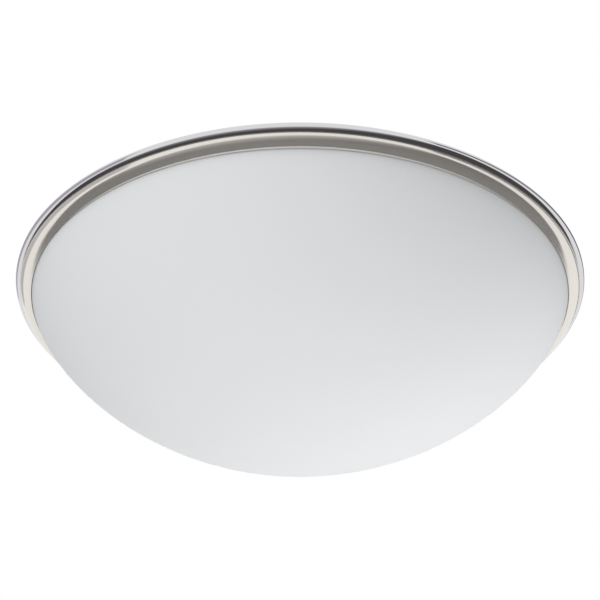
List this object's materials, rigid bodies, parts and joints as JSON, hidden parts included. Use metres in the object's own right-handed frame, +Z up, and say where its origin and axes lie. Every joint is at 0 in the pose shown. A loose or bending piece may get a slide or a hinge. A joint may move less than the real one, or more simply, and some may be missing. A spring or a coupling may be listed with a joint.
{
  "type": "flush ceiling light",
  "caption": "Flush ceiling light: opal glass bowl in a satin-nickel ring with a half-round beaded rim, on a steel back pan that carries screw-base lamps.",
  "frame": {"origin": "centre of the fixing rib's flat top, which lies against the ceiling, on the light's axis", "axes": "+Z up into the ceiling; X and Y lie in the ceiling plane, X along the lamps and Y along the fixing rib"},
  "size_m": [0.4, 0.4, 0.1176],
  "materials": {
    "satin_nickel": "satin nickel plate on spun steel",
    "opal_glass": "opal glass, satin etched outside",
    "white_enamel": "white baked enamel on sheet steel",
    "gasket_silicone": "matt silicone strip",
    "spring_steel": "bright spring steel",
    "zinc_plate": "bright zinc plate",
    "porcelain": "white glazed porcelain",
    "brass": "plain brass",
    "frosted_bulb_glass": "soft white frosted bulb glass",
    "cap_aluminium": "rolled aluminium",
    "black_vitrite": "black glass insulator",
    "contact_solder": "dull solder",
    "grommet_rubber": "matt black rubber",
    "terminal_polyamide": "natural white polyamide",
    "brown_insulation": "brown wire insulation",
    "blue_insulation": "blue wire insulation",
    "green_insulation": "green and yellow wire insulation"
  },
  "bodies": {
    "pan": {"back_pan": "white_enamel", "catch_spring_1": "spring_steel", "catch_spring_2": "spring_steel", "catch_spring_3": "spring_steel", "catch_rivet_1": "zinc_plate", "catch_rivet_2": "zinc_plate", "catch_rivet_3": "zinc_plate", "cable_grommet": "grommet_rubber", "holder_bracket_1": "zinc_plate", "holder_bracket_2": "zinc_plate", "bracket_rivet_1_inner": "zinc_plate", "bracket_rivet_1_outer": "zinc_plate", "bracket_rivet_2_inner": "zinc_plate", "bracket_rivet_2_outer": "zinc_plate", "lampholder_1": "porcelain", "lampholder_2": "porcelain", "screw_shell_1": "brass", "screw_shell_2": "brass", "contact_tongue_1": "brass", "contact_tongue_2": "brass", "holder_screw_1_lower": "zinc_plate", "holder_screw_1_upper": "zinc_plate", "holder_screw_2_lower": "zinc_plate", "holder_screw_2_upper": "zinc_plate", "terminal_block": "terminal_polyamide", "terminal_insert_live": "brass", "terminal_insert_earth": "brass", "terminal_insert_neutral": "brass", "terminal_screw_live_mains": "zinc_plate", "terminal_screw_live_lamp": "zinc_plate", "terminal_screw_earth_mains": "zinc_plate", "terminal_screw_earth_lamp": "zinc_plate", "terminal_screw_neutral_mains": "zinc_plate", "terminal_screw_neutral_lamp": "zinc_plate", "terminal_block_screw": "zinc_plate", "earth_screw": "zinc_plate", "earth_washer": "spring_steel", "earth_lug": "brass", "earth_lead": "green_insulation", "live_lead_1": "brown_insulation", "live_lead_2": "brown_insulation", "neutral_lead_1": "blue_insulation", "neutral_lead_2": "blue_insulation"},
    "cover": {"trim_ring": "satin_nickel", "glass_dome": "opal_glass", "glass_gasket": "gasket_silicone"},
    "bulb_1": {"bulb_glass_1": "frosted_bulb_glass", "bulb_cap_1": "cap_aluminium", "bulb_insulator_1": "black_vitrite", "bulb_contact_1": "contact_solder"},
    "bulb_2": {"bulb_glass_2": "frosted_bulb_glass", "bulb_cap_2": "cap_aluminium", "bulb_insulator_2": "black_vitrite", "bulb_contact_2": "contact_solder"}
  },
  "joints": [
    {"name": "cover_drop", "type": "slide", "parent": "pan", "child": "cover", "axis": [0, 0, -1], "range_m": [0, 0.13], "deforming": ["catch_spring_1", "catch_spring_2", "catch_spring_3"]},
    {"name": "bulb_1_unscrew", "type": "slide", "parent": "pan", "child": "bulb_1", "axis": [1, 0, 0], "range_m": [0, 0.024]},
    {"name": "bulb_2_unscrew", "type": "slide", "parent": "pan", "child": "bulb_2", "axis": [-1, 0, 0], "range_m": [0, 0.024]}
  ]
}
